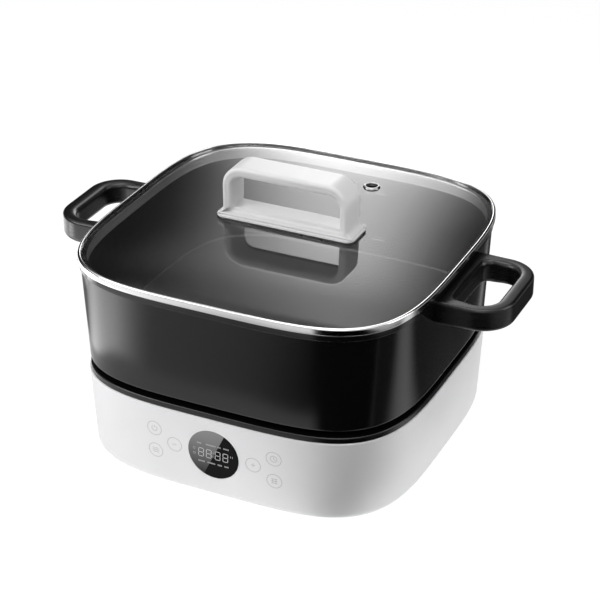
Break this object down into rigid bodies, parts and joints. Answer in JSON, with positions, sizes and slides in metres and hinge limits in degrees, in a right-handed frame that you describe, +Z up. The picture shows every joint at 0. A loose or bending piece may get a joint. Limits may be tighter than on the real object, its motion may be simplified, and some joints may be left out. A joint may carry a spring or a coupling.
{
  "type": "electric hot pot with lid",
  "caption": "Square countertop electric hot pot: white heating base with round display, black lift-off pot with side handles, steel-rimmed glass lid with bridge handle.",
  "frame": {"origin": "centre of the square footprint on the plane of the feet", "axes": "+Z up, +X to the right seen from the front through both pot handles, the display faces -Y and the power inlet +Y"},
  "size_m": [0.404, 0.2984, 0.2325],
  "materials": {
    "white_plastic": "satin",
    "black_plastic": "fine texture",
    "foot_rubber": "matt",
    "screw_steel": "bright",
    "silicone": "matt",
    "heater_aluminium": "turned",
    "heater_sheath": "oxidised",
    "sheet_steel": "rolled",
    "spring_steel": "bright",
    "sensor_metal": "satin",
    "fuse_body": "matt",
    "circuit_board": "solder mask",
    "relay_plastic": "moulded",
    "transformer_tape": "tape",
    "capacitor_sleeve": "sleeve",
    "wire_sleeve": "extruded",
    "display_glass": "polished",
    "pin_brass": "plated",
    "pot_coating": "satin non-stick coating",
    "disc_aluminium": "turned",
    "handle_plastic": "satin",
    "lid_glass": "polished",
    "rim_steel": "polished",
    "lid_handle_plastic": "satin"
  },
  "bodies": {
    "base": {"base_housing": "white_plastic", "base_bottom_cover": "white_plastic", "top_ring": "black_plastic", "feet": "foot_rubber", "foot_screws": "screw_steel", "plate_gasket": "silicone", "heating_plate": "heater_aluminium", "heating_element": "heater_sheath", "heat_shield": "sheet_steel", "shield_screws": "screw_steel", "sensor_guide": "black_plastic", "sensor_spring": "spring_steel", "thermal_fuse": "fuse_body", "power_board": "circuit_board", "board_screws": "screw_steel", "power_relay": "relay_plastic", "transformer": "transformer_tape", "capacitors": "capacitor_sleeve", "heat_sink": "heater_aluminium", "heater_wires": "wire_sleeve", "mains_wires": "wire_sleeve", "display_window": "display_glass", "display_module": "black_plastic", "display_board": "circuit_board", "display_screws": "screw_steel", "touch_springs": "spring_steel", "inlet_housing": "black_plastic", "inlet_pins": "pin_brass", "inlet_screws": "screw_steel"},
    "sensor": {"sensor_cap": "sensor_metal"},
    "pot": {"pot_body": "pot_coating", "pot_base_disc": "disc_aluminium", "handle_bracket_left": "sheet_steel", "handle_bracket_right": "sheet_steel", "pot_handle_left": "handle_plastic", "pot_handle_right": "handle_plastic", "handle_screws_left": "screw_steel", "handle_screws_right": "screw_steel"},
    "lid": {"lid_glass": "lid_glass", "lid_rim": "rim_steel", "lid_handle": "lid_handle_plastic", "handle_gasket": "silicone", "handle_backing": "sheet_steel", "lid_handle_screws": "screw_steel", "vent_eyelet": "rim_steel", "vent_washer": "silicone"}
  },
  "joints": [
    {"name": "pot_lift", "type": "slide", "parent": "base", "child": "pot", "axis": [0, 0, 1], "range_m": [0, 0.12]},
    {"name": "lid_lift", "type": "slide", "parent": "pot", "child": "lid", "axis": [0, 0, 1], "range_m": [0, 0.12]},
    {"name": "sensor_rise", "type": "slide", "parent": "base", "child": "sensor", "axis": [0, 0, 1], "range_m": [0, 0.0025], "deforming": ["sensor_spring"]}
  ],
  "couplings": [
    {"joint": "sensor_rise", "follows": "pot_lift", "ratio": 0.0208}
  ]
}
